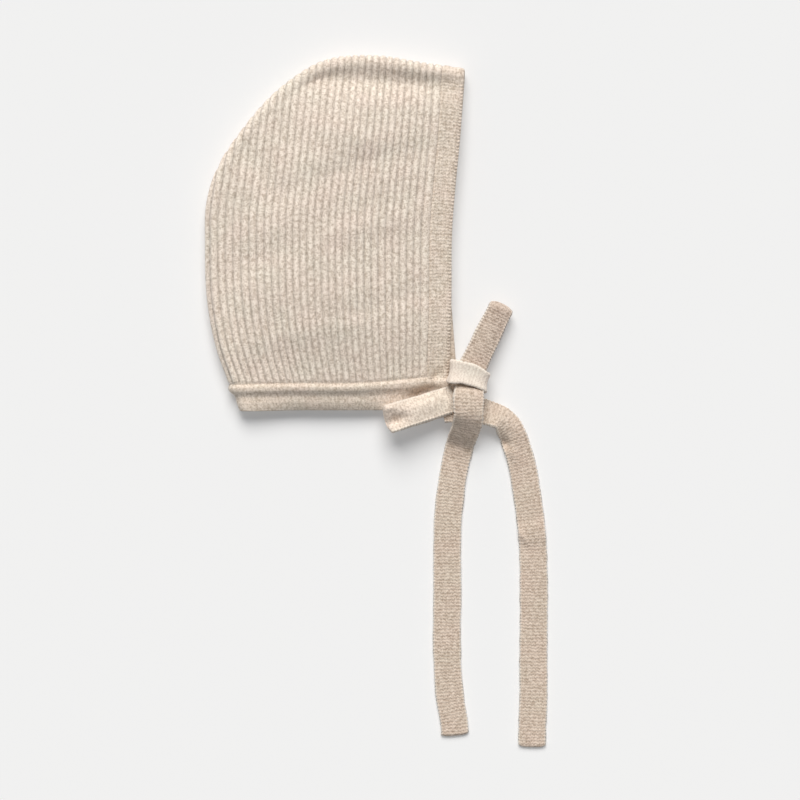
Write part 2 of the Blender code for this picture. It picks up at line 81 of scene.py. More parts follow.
# Ties and bow
TIE_WIDTH = 0.0136
TIE_WALL = 0.0020
WRAP_WIDTH = 0.0118
WRAP_LENGTH = 0.0198  # across the knot, between the middles of the wrap's two ends
WRAP_SAG = 0.0018  # how far those ends lie below its middle on the plan
WRAP_TWIST = 7.0  # degrees that it is turned at those ends
WRAP_HEIGHT = 0.0104  # between the middles of its upper and lower run
WRAP_SLACK = 0.0014  # between the wrap and the tie that runs through it
WRAP_ROUNDNESS = (4.0, 2.0)  # of its upper and lower run: 2 is an ellipse, more is squarer
KNOT_FORWARD = 0.0100  # the knot's middle, from the front corner of the neck edge
KNOT_UP = 0.0168
KNOT_HEIGHT = 0.0103
KNOT_HEADING = -17.5  # degrees, the way the wrap crosses the knot on the plan
KNOT_TILT = -8.0  # degrees, its front end lies lower
UPPER_LOOP_START = -0.0010  # forward of the knot's middle
UPPER_LOOP_LENGTH = 0.0405
UPPER_LOOP_WIDTHS = (0.0142, 0.0124)  # at the knot, at its end
UPPER_LOOP_HEADING = 64.0
UPPER_LOOP_HEIGHTS = (0.0030, 0.0052)  # between its two layers: in the knot, at its end
UPPER_LOOP_FALL = 0.0034  # of its upper layer, from the knot to its end
UPPER_LOOP_TILT = 9.0
LEFT_LOOP_START = (0.0029, 0.0056)  # on the plan
LEFT_LOOP_LENGTH = 0.0385
LEFT_LOOP_WIDTHS = (0.0132, 0.0142)
LEFT_LOOP_HEADING = 197.5
LEFT_LOOP_HEIGHTS = (0.0023, 0.0039)
LEFT_LOOP_TOP = 0.0098  # middle of its upper layer where it starts
LEFT_LOOP_FALL = -0.0058
LEFT_LOOP_TILT = 4.5
LEFT_LOOP_SPREAD = -4.0  # degrees between the headings of its two layers
UPPER_LOOP_SPREAD = 0.0
TAIL_LENGTH = 0.1790  # straight, from the knot's middle to the end of the left tail

# Silhouette of the side, from below the neck edge up to where the rearmost rib leaves it
BACK_ROWS = (
    # height, depth: shares
    (-0.050, 0.852),
    (0.000, 0.873),
    (0.085, 0.911),
    (0.169, 0.955),
    (0.297, 0.993),
    (0.466, 1.004),
    (0.593, 0.997),
)
# From there over the crown and past the top of the face edge
CROWN_ROWS = (
    # depth, height: shares
    (0.957, 0.679),
    (0.848, 0.797),
    (0.678, 0.921),
    (0.510, 0.990),
    (0.322, 1.004),
    (0.095, 0.982),
    (-0.070, 0.967),
    (-0.130, 0.960),
)
FACE_ROWS = (
    # height, how far the face edge lies forward of the front corner: shares of height, depth
    (0.000, -0.006),
    (0.140, 0.002),
    (0.310, 0.009),
    (0.520, 0.013),
    (0.640, 0.027),
    (0.760, 0.044),
    (0.960, 0.063),
)
SEAM_ROWS = (
    # share along the silhouette, degrees that the seam is turned to the near side
    (0.00, 0.0),
    (0.45, 1.0),
    (0.62, 12.0),
    (0.80, 26.0),
    (1.00, 30.0),
)
DENT_ROWS = (
    # middle: shares of depth and height; heading in degrees; half length and half width: shares
    # of depth; how deep: share of the near height
    (0.310, 0.925, 3.0, 0.330, 0.055, 0.25),
    (0.800, 0.700, 52.0, 0.220, 0.055, 0.06),
    (0.480, 0.330, 75.0, 0.300, 0.110, -0.05),
    (0.830, 0.260, 100.0, 0.220, 0.070, -0.06),
    (0.300, 0.560, 80.0, 0.300, 0.080, 0.05),
)
FACE_BAND_ROWS = (
    # share of the band's width from the ribs to the face edge, outer face as a share of its wall
    (0.00, 0.30),
    (0.06, 0.50),
    (0.50, 0.52),
    (0.90, 0.48),
    (1.00, 0.18),
)
LEFT_TAIL_ROWS = (
    # shares of the tail's length: down from the knot's middle, forward of it; tilt and heading in
    # degrees
    (0.0190, 0.0020, -8.0, -92.0),
    (0.0545, 0.0022, -8.0, -91.0),
    (0.0908, 0.0000, -7.0, -91.0),
    (0.1047, 0.0000, -6.0, -94.0),
    (0.1327, -0.0047, -4.0, -104.0),
    (0.1600, -0.0147, -3.0, -108.0),
    (0.1760, -0.0206, -2.0, -109.0),
    (0.1900, -0.0247, 0.0, -108.0),
    (0.2050, -0.0290, 0.0, -106.0),
    (0.2304, -0.0355, 0.0, -104.0),
    (0.2863, -0.0466, 0.0, -99.0),
    (0.3422, -0.0536, 0.0, -96.0),
    (0.3980, -0.0592, 0.0, -94.0),
    (0.4539, -0.0606, 0.0, -91.0),
    (0.6215, -0.0606, 0.0, -90.0),
    (0.7332, -0.0620, 0.0, -90.0),
    (0.7890, -0.0606, 0.0, -88.0),
    (0.8450, -0.0578, 0.0, -86.0),
    (0.9008, -0.0522, 0.0, -82.0),
    (0.9567, -0.0425, 0.0, -79.0),
    (1.0000, -0.0383, 0.0, -75.0),
)
RIGHT_TAIL_ROWS = (
    # the same, from under the left tail on, and between them its height as a share of the height
    # in the wrap
    (0.0845, -0.0110, 0.69, 12.0, -8.0),
    (0.0895, 0.0204, 0.53, 2.0, -11.0),
    (0.0975, 0.0478, 0.42, -8.0, -17.0),
    (0.1042, 0.0693, 0.38, -12.0, -24.0),
    (0.1137, 0.0897, 0.34, -12.0, -38.0),
    (0.1341, 0.1070, 0.25, -6.0, -54.0),
    (0.1587, 0.1207, 0.15, 2.0, -67.0),
    (0.1830, 0.1293, 0.09, 0.0, -72.0),
    (0.2095, 0.1385, 0.04, 0.0, -74.0),
    (0.2500, 0.1494, 0.00, 0.0, -76.0),
    (0.3142, 0.1600, 0.00, 0.0, -79.0),
    (0.3701, 0.1684, 0.00, 0.0, -82.0),
    (0.3994, 0.1720, 0.00, 0.0, -83.0),
    (0.4350, 0.1755, 0.12, 0.0, -85.0),
    (0.4750, 0.1785, 0.00, 0.0, -87.0),
    (0.5098, 0.1796, 0.00, 0.0, -88.0),
    (0.6215, 0.1810, 0.00, 0.0, -90.0),
    (0.7891, 0.1796, 0.00, 0.0, -90.5),
    (0.9008, 0.1796, 0.00, 0.0, -91.0),
    (0.9707, 0.1768, 0.00, 0.0, -92.0),
    (1.0321, 0.1754, 0.00, 0.0, -93.0),
)
KNOT = np.array([KNOT_FORWARD, KNOT_UP, KNOT_HEIGHT])
PRESSED = 0.6  # share of the ribs' relief that is left where they rest on the floor
FAR_HEIGHT = PANEL_WALL / 2 + RIB_RELIEF * PRESSED

# Stitches
COURSE = 0.00165  # height of a stitch
WALE = 0.00195  # width of a stitch in the bands and ties
LEG_RISE_RIB = 0.5  # how many courses a stitch's legs rise: in the ribs
LEG_RISE_PLAIN = 0.34  # in the bands and ties
RIB_STITCH_RELIEF = 0.00002  # from a stitch's lowest to its highest point: in the ribs
BAND_STITCH_RELIEF = 0.00016  # in the bands
TIE_STITCH_RELIEF = 0.00013  # in the ties
STITCH_MIDDLE = 0.25  # how much lower a stitch is between its legs, as a share
STITCH_MIDDLE_WIDTH = 0.22
STITCH_SIDES = 0.20  # how much lower it is at its sides
UNEVEN_WAVES = (
    # of the courses: radians per wale, radians per course
    (1.7, 0.35),
    (0.9, -0.6),
    (2.9, 0.8),
    (0.5, 1.1),
)
UNEVEN_SHIFT = 0.06  # by each wave, in courses
RIPPLE_LENGTHS = (0.019, 0.031, 0.047, 0.011)  # of the waves in a tie's width
RIPPLE_PEAK = 2.6  # about the highest sum of those waves
RIPPLE_SHARE = 0.012  # of the tie's width
SEAM_LAP = 0.0005  # how far the ribbed sides run on under the bands
LAP_RUN = 0.0026  # how far above the neck band the ribs reach their full relief
FACE_LAP_START = -0.1  # the same behind the face band: where it starts, in wales
FACE_LAP_RUN = 0.3
FACE_LAP_WALES = 0.5  # over which the ribbed sides are drawn forward under the face band

# Ribbed sides
RIB_COLUMNS = 8  # of a panel's face to each rib, whose back has one
RIB_PROFILE = (
    # share of the pitch, share of the relief
    (0.000, 0.00),
    (0.125, 0.36),
    (0.250, 0.84),
    (0.375, 1.00),
    (0.500, 0.93),
    (0.625, 1.00),
    (0.750, 0.84),
    (0.875, 0.36),
    (1.000, 0.00),
)
GROOVE_STITCHES = 0.35  # how much the stitches stand out in the grooves, as a share
CREASE_ROWS = (
    # as the dents, and shallow
    (0.560, 0.640, -20.0, 0.300, 0.055, 0.050),
    (0.340, 0.520, -14.0, 0.260, 0.050, -0.044),
    (0.720, 0.440, -24.0, 0.240, 0.060, 0.046),
    (0.260, 0.300, -18.0, 0.240, 0.050, 0.046),
    (0.600, 0.220, -12.0, 0.300, 0.050, -0.042),
    (0.180, 0.720, -10.0, 0.200, 0.050, 0.046),
    (0.500, 0.800, 20.0, 0.200, 0.050, -0.040),
)

# Bands
FACE_BAND_LENGTH = 0.320
NECK_BAND_LENGTH = 0.220
NECK_BAND_ROWS = (
    # share of the band's width up from the neck edge, outer face as a share of its wall
    (0.03, 0.04),
    (0.10, 0.12),
    (0.34, 0.20),
    (0.52, 0.14),
    (0.61, 0.32),
    (0.70, 0.74),
    (0.80, 1.00),
    (0.91, 0.92),
    (1.00, 0.48),
)
NECK_DROOP = 0.0026  # how far the near side's neck edge hangs
DROOP_RUN = 0.60  # how far up the band that reaches, as a share of its width
DROOP_SECTIONS = 60.0  # from the turn at the back, over which it comes in
EDGE_TEETH = 0.00030  # how far the stitches of a toothed edge stand out
TEETH_FROM = 0.84  # share of the band's width
EDGE_FROM = 0.86  # where the stitches of its upper edge begin
EDGE_FADE = 0.10
LOW_EDGE = 0.05
EDGE_STITCHES = 1.2  # how much more the stitches stand out at both edges

# Folds of the ties and of the neck band
FOLD_ROWS = (
    # its middle's place forward and up, heading of its length in degrees, half its length and
    # width, how far it stands up
    (-0.0262, -0.0048, 20.0, 0.0050, 0.0030, -0.0042),
    (-0.0300, 0.0014, 14.0, 0.0036, 0.0018, 0.0018),
    (-0.0110, 0.0035, 18.0, 0.0110, 0.0040, 0.0010),
    (0.0282, -0.0165, -60.0, 0.0030, 0.0022, -0.0026),
    (0.0310, -0.0205, -60.0, 0.0050, 0.0022, 0.0008),
    (0.0362, -0.0620, -55.0, 0.0045, 0.0012, 0.0008),
    (0.0335, -0.0640, -55.0, 0.0040, 0.0012, -0.0006),
    (-0.0135, 0.0088, 22.0, 0.0066, 0.0027, -0.0054),
    (-0.0064, 0.0176, 48.0, 0.0046, 0.0021, -0.0016),
)

# Section of a tie
EDGE_SQUARENESS = 9.0  # 2 is an ellipse, more is squarer
EDGE_WALL = 0.14  # share of the wall at the very edge
EDGE_ROLL = 0.00040  # how far its edges stand up
EDGE_ROLL_AT = 0.92  # share of half its width
EDGE_ROLL_WIDTH = 0.07
TEETH_SHARPNESS = 6  # the power by which the teeth gather at its edges
CROWN_LEVEL = 0.35  # share of its crown by which the middle stands up
END_WALL = 0.35  # share of the wall at an end that is bound off
END_RUN = 0.0009
CORNER_PULL = 0.0011  # how far the middle of an end stands out past its corners
CORNER_PULL_RUN = 0.0020
CORNER_SHARPNESS = 5  # the power by which that gathers at the corners

# Bow, past the model's simpler forms
WRAP_CROWN = 0.0012  # how far the middle of the wrap stands above its edges
WRAP_LEAN = -6.0
WRAP_SHIFT = (-0.0006, 0.0016)
WRAP_SHARE = 0.94  # of the model's length
WRAP_TAPER = 0.17  # how much narrower its front end is
LOOP_CROWN = 0.0010
LEFT_LOOP_LEAN = 3.0
LEFT_LOOP_SHIFT = (0.0, 0.0008)
LEFT_LOOP_SHORTER = 0.0022
LEFT_LOOP_SPREAD_SHARE = 0.3  # of the model's angle between its layers
LEFT_LOOP_FALL_SHARE = 0.85

# Tails
TAIL_CROWN = 0.0006
TAIL_CROWN_ON_FLOOR = 0.3  # share of that where it rests
TAIL_FALL_ROWS = (
    # the left tail: share of its length down from the knot, height as a share of that in the wrap
    (0.019, 1.00),
    (0.028, 1.10),
    (0.036, 1.23),
    (0.046, 1.33),
    (0.060, 1.40),
    (0.075, 1.43),
    (0.090, 1.43),
    (0.102, 1.40),
    (0.112, 1.33),
    (0.121, 1.22),
    (0.142, 0.87),
    (0.164, 0.50),
    (0.178, 0.22),
    (0.187, 0.08),
    (0.196, 0.02),
    (0.212, 0.00),
    (0.260, 0.00),
)
TAIL_SPREAD_ROWS = (
    # the left tail: share of its length down from the knot, how much wider it is there
    (0.019, 0.00),
    (0.040, 0.09),
    (0.062, 0.13),
    (0.090, 0.09),
    (0.130, 0.05),
    (0.180, 0.03),
    (0.230, 0.00),
)
SPREAD_TO_LEFT = 0.45  # share of that width by which its middle moves left
RIGHT_START_ROWS = (
    # the right tail where it comes out on the other side of the left tail, as its other rows
    (0.1025, -0.0720, 0.56, 0.0, 14.0),
    (0.0930, -0.0360, 0.66, 8.0, 8.0),
)
RIGHT_START_SHARE = 0.66  # its width there, as a share of the tie's
RIGHT_START_RUN = 0.055  # share of its length over which it reaches its full width
RIGHT_LEAN_ROWS = (
    # the right tail: share of its length down from the knot, how many degrees more its edge leans
    (0.084, 0.0),
    (0.092, -12.0),
    (0.104, -20.0),
    (0.118, -18.0),
    (0.140, -6.0),
    (0.165, 0.0),
)
RIGHT_WAVE_AT = 0.435  # where the right tail stands a little off the floor, down from the knot
RIGHT_WAVE_WIDTH = 0.03
RIGHT_WAVE_LOWER = 0.45  # how much lower that is than in the model, as a share

# Seeds of the unevenness
RIB_SEED = 2
BAND_SEED = 3
WRAP_SEED = 5
UPPER_LOOP_SEED = 11
LEFT_LOOP_SEED = 12
LEFT_TAIL_SEED = 13
RIGHT_TAIL_SEED = 14

# Grids
SLOPE_STEP = 0.0004  # over which the near side's slope is measured
HALVINGS = 40
BACK_STEP = 4  # a sheet's back has every fourth row of its face, and a band's or tie's column
NEAR_ROW = 0.00043  # between the rows of the near side
FAR_ROW = 0.0008
BAND_ROW = 0.00045
TURN_FINE = (0.0, 0.0003, 0.0007, 0.0012, 0.0018, 0.0025, 0.0033, 0.0042, 0.0052, 0.0063, 0.0074)
FACE_BAND_COLUMNS = 29
NECK_BAND_COLUMNS = 33
TIE_COLUMNS = 41
TIE_CROWDING = 0.55  # how far a tie's columns crowd to its edges
WRAP_PLACES = 140
WRAP_FINE_PLACES = 2400
TAIL_PLACES = 401
LOOP_PLACES = 85
LOOP_TURN_PLACES = 16
LOOP_TURN_END = 0.999  # share of the way round, so that the turn's last section is its own

# Yarn
YARN_ROWS = (
    # scale of its noise, detail, step from the knit's seed, weight
    (1500.0, 2.0, 0.0, 0.7),
    (620.0, 2.0, 3.0, 0.7),
    (2900.0, 1.0, 5.0, 0.6),
)
YARN_MIDDLE = 0.58  # share of the light fibres
PATCH_SCALE = 75.0
PATCH_SEED = 7.0  # step from the knit's seed
PATCH_SPREAD = 2.4
PATCH_TINTS = ((0.96, 1.0, 0.97, 1.0), (1.0, 0.95, 0.94, 1.0))
PATCH_SHARE = 0.5
# Painted shade in the grooves between the wales: the power by which it gathers there
GROOVE_SHADE_POWER = 3.0
# Painted highlight: a light rim painted along the edges of the ties
EDGE_HIGHLIGHT = (0.97, 0.88, 0.78, 1.0)
EDGE_HIGHLIGHT_FALL = 2.2  # how fast the painted highlight on a tie's edge fades, per wale
EDGE_HIGHLIGHT_LOOPS = 0.55  # how much that follows the stitches
FUZZ = 0.8  # how much the fibres stand out
BUMP_STRENGTH = 0.7
BUMP_DISTANCE = 0.0004
KNIT_SHADER = {
    "Roughness": 0.95,
    "Specular IOR Level": 0.15,
    "Sheen Weight": 0.30,
    "Sheen Roughness": 0.6,
}

# Floor, light and camera
FLOOR_HALF = 3.0
FLOOR_HEIGHT = -0.0001  # just below the undersides that rest on it
FLOOR_SHADER = {
    "Base Color": (0.735, 0.735, 0.735, 1.0),
    "Emission Color": (1.0, 1.0, 1.0, 1.0),
    "Emission Strength": 0.175,
    "Roughness": 0.9,
    "Specular IOR Level": 0.1,
}
SKY_COLOUR = (0.93, 0.965, 1.0, 1.0)
SKY_STRENGTH = 0.24
KEY_STRENGTH = 3.15
KEY_COLOUR = (1.0, 0.985, 0.965)
KEY_SPREAD = 42.0  # degrees
KEY_TOWARDS = (0.03, -0.68, -0.73)
CAMERA_FROM_CORNER = (-0.0245, 0.0055)  # from the front corner of the neck edge
CAMERA_HEIGHT = 2.0
CAMERA_SENSOR = 36.0  # millimetres, as the lens
CAMERA_LENS = 180.0
CAMERA_FAR = 20.0


class Knit(NamedTuple):
    """The look of one knit, for knit_material."""

    light: tuple  # linear colour of its lightest fibres
    dark: tuple  # and of its darkest
    rise: float  # of the stitches' legs, in courses
    groove_shade: float  # painted shade between the wales: how much darker it is there
    contrast: float  # how far the fibres differ
    stitch: float  # how much the stitches do
    seed: float
    wales: int = 0  # across a tie, whose edge stitches get a painted highlight


KNITS = {
    "ribbed": Knit((1.0, 0.885, 0.775), (0.58, 0.48, 0.39), LEG_RISE_RIB, 0.40, 3.8, 0.08, 1.0),
    "band": Knit((0.90, 0.78, 0.67), (0.52, 0.42, 0.33), LEG_RISE_PLAIN, 0.12, 3.4, 0.18, 21.0),
    "tie": Knit((0.80, 0.67, 0.56), (0.44, 0.335, 0.255), LEG_RISE_PLAIN, 0.03, 2.8, 0.30, 41.0, 7),
    # The upper loop's, the left loop's and the wrap's knits are the tie's knit, painted darker for
    # shade on the upper loop and lighter for light on the left loop and the wrap
    "upper": Knit((0.75, 0.62, 0.52), (0.37, 0.275, 0.21), LEG_RISE_PLAIN, 0.03, 2.8, 0.36, 45.0, 7),
    "lit_loop": Knit((0.97, 0.85, 0.73), (0.56, 0.455, 0.37), LEG_RISE_PLAIN, 0.03, 2.6, 0.24, 51.0, 7),
    "lit_wrap": Knit((1.0, 0.90, 0.79), (0.68, 0.57, 0.48), LEG_RISE_PLAIN, 0.03, 1.8, 0.30, 61.0, 6),
}


def smooth(share):
    """A rise from 0 to 1 that starts and ends level."""
    share = np.clip(share, 0.0, 1.0)
    return share * share * (3.0 - 2.0 * share)


def curve(keys, values, at):
    """A smooth curve through values at rising keys, held level beyond its ends."""
    keys = np.asarray(keys, float)
    values = np.asarray(values, float)
    slopes = np.gradient(values, keys)
    cell = np.clip(np.searchsorted(keys, at) - 1, 0, len(keys) - 2)
    span = keys[cell + 1] - keys[cell]
    t = np.clip((at - keys[cell]) / span, 0.0, 1.0)
    rise = smooth(t)
    start = t * (1.0 - t) ** 2 * span * slopes[cell]
    end = t * t * (t - 1.0) * span * slopes[cell + 1]
    return values[cell] * (1.0 - rise) + values[cell + 1] * rise + start + end


def column(rows, index):
    return np.array([row[index] for row in rows])


def by_rows(rows, at):
    """A smooth curve through rows of a key and a value."""
    return curve(column(rows, 0), column(rows, 1), at)


def unit(vectors):
    """Vectors of length 1."""
    return vectors / np.linalg.norm(vectors, axis=-1, keepdims=True)


def seam_line(count=600):
    """The silhouette moved in to the middle of the cloth: points, ways in, shares along it, and
    the index where the rearmost rib leaves it."""
    back = np.array([(-depth * DEPTH, height * HEIGHT) for height, depth in BACK_ROWS])
    crown = np.array([(-depth * DEPTH, height * HEIGHT) for depth, height in CROWN_ROWS])
    points = np.vstack([back, crown])
    run = np.concatenate([[0.0], np.cumsum(np.linalg.norm(np.diff(points, axis=0), axis=1))])
    at = np.linspace(0.0, run[-1], count)
    line = np.column_stack([curve(run, points[:, 0], at), curve(run, points[:, 1], at)])
    ahead = unit(np.gradient(line, axis=0))
    inward = np.column_stack([ahead[:, 1], -ahead[:, 0]])
    line = line + inward * (PANEL_WALL / 2 + RIB_RELIEF)
    turn = int(np.searchsorted(at, run[len(back) - 1]))
    return line, inward, at / run[-1], turn


SEAM, SEAM_INWARD, SEAM_SHARE, SEAM_TURN = seam_line()


def back_x(y):
    """The rearmost rib: on the seam up to where the crown cuts it, and straight beyond."""
    turn_x, turn_y = SEAM[SEAM_TURN]
    on_seam = np.interp(y, SEAM[: SEAM_TURN + 1, 1], SEAM[: SEAM_TURN + 1, 0])
    return np.where(y <= turn_y, on_seam, turn_x + REAR_RIB_LEAN * (y - turn_y))


def crown_y(x):
    """Height of the seam over the crown."""
    return np.interp(x, SEAM[SEAM_TURN:, 0], SEAM[SEAM_TURN:, 1])


def face_x(y, far):
    """The face edge of one side."""
    x = DEPTH * curve(HEIGHT * column(FACE_ROWS, 0), column(FACE_ROWS, 1), y)
    peep = FAR_PEEP * np.clip(1.0 - y / FAR_PEEP_RUN, 0.0, 1.0)
    return x + peep if far else x


def neck_top(x):
    """Height of the neck band's upper edge."""
    return NECK_BAND_WIDTH + NECK_RISE * smooth(1.0 + x / NECK_RISE_RUN)


def from_seam(points):
    """Distance in from the seam, and the index of the seam's nearest point."""
    offsets = points[:, None] - SEAM[None]
    nearest = np.argmin((offsets**2).sum(axis=2), axis=1)
    own = offsets[np.arange(len(points)), nearest]
    return np.maximum((own * SEAM_INWARD[nearest]).sum(axis=1), 0.0), nearest


def lift(points):
    """How far the near side stands above the turn at the silhouette."""
    away, _ = from_seam(points)
    x, y = points.T
    from_mouth = smooth((face_x(y, False) - x) / MOUTH_RUN) * smooth(y / MOUTH_RUN)
    full = MOUTH_HEIGHT + (NEAR_HEIGHT - MOUTH_HEIGHT) * from_mouth
    height = (full - SEAM_HEIGHT - TURN_RISE) * smooth(away / DOME_RUN)
    for depth, up, heading, half_length, half_width, sunk in DENT_ROWS + CREASE_ROWS:
        along = np.radians(180.0 - heading)
        dx = x + depth * DEPTH
        dy = y - up * HEIGHT
        u = (dx * np.cos(along) + dy * np.sin(along)) / (half_length * DEPTH)
        v = (dy * np.cos(along) - dx * np.sin(along)) / (half_width * DEPTH)
        dent = np.exp(-((u * u) ** 2) - v * v) * smooth(away / (2.0 * TURN_WIDTH))
        height = height - sunk * NEAR_HEIGHT * dent
    corner = (x / CORNER_RUN_X) ** 2 + ((y - CORNER_UP) / CORNER_RUN_Y) ** 2
    return height - CORNER_DROP * np.exp(-corner)


def cloth(x, y, far):
    """Middle of the cloth at plan points of one side, and its outward normals.

    Near the silhouette a point is carried round the turn by its distance from the seam.
    """
    points = np.column_stack([x, y])
    away, nearest = from_seam(points)
    inward = SEAM_INWARD[nearest]
    seam_turn = np.radians(by_rows(SEAM_ROWS, SEAM_SHARE[nearest]))
    first = -seam_turn if far else seam_turn
    fall = SEAM_HEIGHT - FAR_HEIGHT if far else TURN_RISE
    quarter = math.pi / 2 * math.sqrt((TURN_WIDTH**2 + fall**2) / 2)
    angle = np.minimum(first + away / quarter * math.pi / 2, math.pi / 2)
    past = away - quarter * (1.0 - first / (math.pi / 2))
    inset = np.where(past < 0.0, TURN_WIDTH * (1.0 - np.cos(angle)), TURN_WIDTH + past)
    moved = (inset - away) * (1.0 - smooth(past / TURN_FADE))
    plan = points + inward * moved[:, None]
    height = np.where(angle < 0.0, TURN_RISE, fall) * np.sin(angle)
    side = -1.0 if far else 1.0
    out = np.column_stack(
        [-inward * (np.cos(angle) / TURN_WIDTH)[:, None], side * np.sin(angle) / fall]
    )
    z = SEAM_HEIGHT + side * height
    if not far:
        level = lift(plan)
        slope_x = (lift(plan + [SLOPE_STEP, 0.0]) - level) / SLOPE_STEP
        slope_y = (lift(plan + [0.0, SLOPE_STEP]) - level) / SLOPE_STEP
        z = z + level
        out[:, 0] -= out[:, 2] * slope_x
        out[:, 1] -= out[:, 2] * slope_y
    return np.column_stack([plan, z]), unit(out)


def rest_on_floor(points):
    """Points with none below the floor."""
    points[..., 2] = np.maximum(points[..., 2], 0.0)
    return points


def crown_heights(x_at, count):
    """The heights at which plan lines meet the crown. x_at gives their x at given heights."""
    low = np.full(count, SEAM[SEAM_TURN, 1])
    high = np.full(count, HEIGHT)
    for _ in range(HALVINGS):
        middle = (low + high) / 2
        inside = crown_y(x_at(middle)) > middle
        low = np.where(inside, middle, low)
        high = np.where(inside, high, middle)
    return low


def rib_x(shares, y, far):
    """Where the rib lines, each a share of the way back, lie at height y."""
    front = face_x(y, far) - FACE_BAND_WIDTH - GAP
    return front + shares * (back_x(y) - front)


def stitch_relief(wales, courses, rise):
    """Height of the knit, 0 to 1, at counts of wales across and of courses along."""
    leg = np.abs(wales % 1.0 - 0.5) * 2.0
    loops = 0.5 + 0.5 * np.cos(2.0 * math.pi * (courses - rise * leg))
    middle = 1.0 - STITCH_MIDDLE * np.exp(-((leg / STITCH_MIDDLE_WIDTH) ** 2))
    return loops * middle * (1.0 - STITCH_SIDES * leg**6)


def uneven(wales, courses, seed):
    """The courses of a piece, a little out of line as knitting is."""
    phases = np.random.default_rng(seed).uniform(0.0, 2.0 * math.pi, len(UNEVEN_WAVES))
    shift = sum(np.sin(w * wales + c * courses + p) for (w, c), p in zip(UNEVEN_WAVES, phases))
    return courses + UNEVEN_SHIFT * shift


def ripple(along, seed):
    """A slow unevenness along a piece, about -1 to 1."""
    phases = np.random.default_rng(seed).uniform(0.0, 2.0 * math.pi, len(RIPPLE_LENGTHS))
    waves = zip(RIPPLE_LENGTHS, phases)
    return sum(np.sin(2.0 * math.pi * along / length + phase) for length, phase in waves) / RIPPLE_PEAK


def fold(points, outs):
    """Points of a piece with its folds, which only move its upper side."""
    points = points.copy()
    for forward, up, heading, long, wide, rise in FOLD_ROWS:
        way = math.radians(heading)
        x = points[..., 0] - forward
        y = points[..., 1] - up
        along = (x * math.cos(way) + y * math.sin(way)) / long
        aside = (y * math.cos(way) - x * math.sin(way)) / wide
        share = np.exp(-(along**2) - aside**2) * np.clip(2.0 * outs[..., 2], 0.0, 1.0)
        points[..., 2] += rise * share
    return points


def run_of(points):
    """How far along a line each of its points lies."""
    steps = np.linalg.norm(np.diff(points, axis=0), axis=1)
    return np.concatenate([[0.0], np.cumsum(steps)])


def even_sections(grid, more):
    """The sections of a grid, spread anew over that many more."""
    at = np.linspace(0.0, len(grid) - 1.0, len(grid) + more)
    low = np.minimum(at.astype(int), len(grid) - 2)
    share = (at - low)[:, None, None]
    return grid[low] * (1.0 - share) + grid[low + 1] * share


def quads(grid):
    """The faces of a grid of vertex numbers."""
    corners = [grid[:-1, :-1], grid[1:, :-1], grid[1:, 1:], grid[:-1, 1:]]
    return np.stack(corners, axis=-1).reshape(-1, 4).tolist()


def cloth_faces(rows, columns, column_step):
    """The faces of a closed sheet: its face, its coarser back, and the rims between them."""
    front = np.arange(rows * columns).reshape(rows, columns)
    back = front[::BACK_STEP, ::column_step]
    back = rows * columns + np.arange(back.size).reshape(back.shape)
    faces = quads(front) + quads(back[:, ::-1])
    rims = (
        (front[0], back[0], column_step),
        (front[-1, ::-1], back[-1, ::-1], column_step),
        (front[::-1, 0], back[::-1, 0], BACK_STEP),
        (front[:, -1], back[:, -1], BACK_STEP),
    )
    for edge, rim, step in rims:
        for k in range(len(rim) - 1):
            along = edge[k * step : (k + 1) * step + 1]
            faces.append([*along.tolist(), int(rim[k + 1]), int(rim[k])])
    return faces


def add_cloth(name, outer, inner, uv, material, slot, column_step=BACK_STEP):
    """A closed sheet that stands for the model's node. outer, inner and uv are grids alike, and
    the sheet's back has fewer of their rows and columns."""
    inner = inner[::BACK_STEP, ::column_step]
    points = np.vstack([outer.reshape(-1, 3), inner.reshape(-1, 3)]) + PLAN_ORIGIN
    places = np.vstack([uv.reshape(-1, 2), uv[::BACK_STEP, ::column_step].reshape(-1, 2)])
    mesh = bpy.data.meshes.new(name)
    mesh.from_pydata(points.tolist(), [], cloth_faces(*outer.shape[:2], column_step))
    shape = bmesh.new()
    shape.from_mesh(mesh)
    bmesh.ops.recalc_face_normals(shape, faces=shape.faces)
    shape.to_mesh(mesh)
    shape.free()
    mesh.polygons.foreach_set("use_smooth", np.ones(len(mesh.polygons), bool))
    corners = np.empty(len(mesh.loops), np.int32)
    mesh.loops.foreach_get("vertex_index", corners)
    knit_map = mesh.uv_layers.new(name="knit")
    knit_map.data.foreach_set("uv", places[corners].astype(np.float32).ravel())
    mesh.materials.append(material)
    piece = bpy.data.objects.new("knit_" + name, mesh)
    bpy.context.scene.collection.objects.link(piece)
    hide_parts(name)
    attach(piece, "root")
    return piece


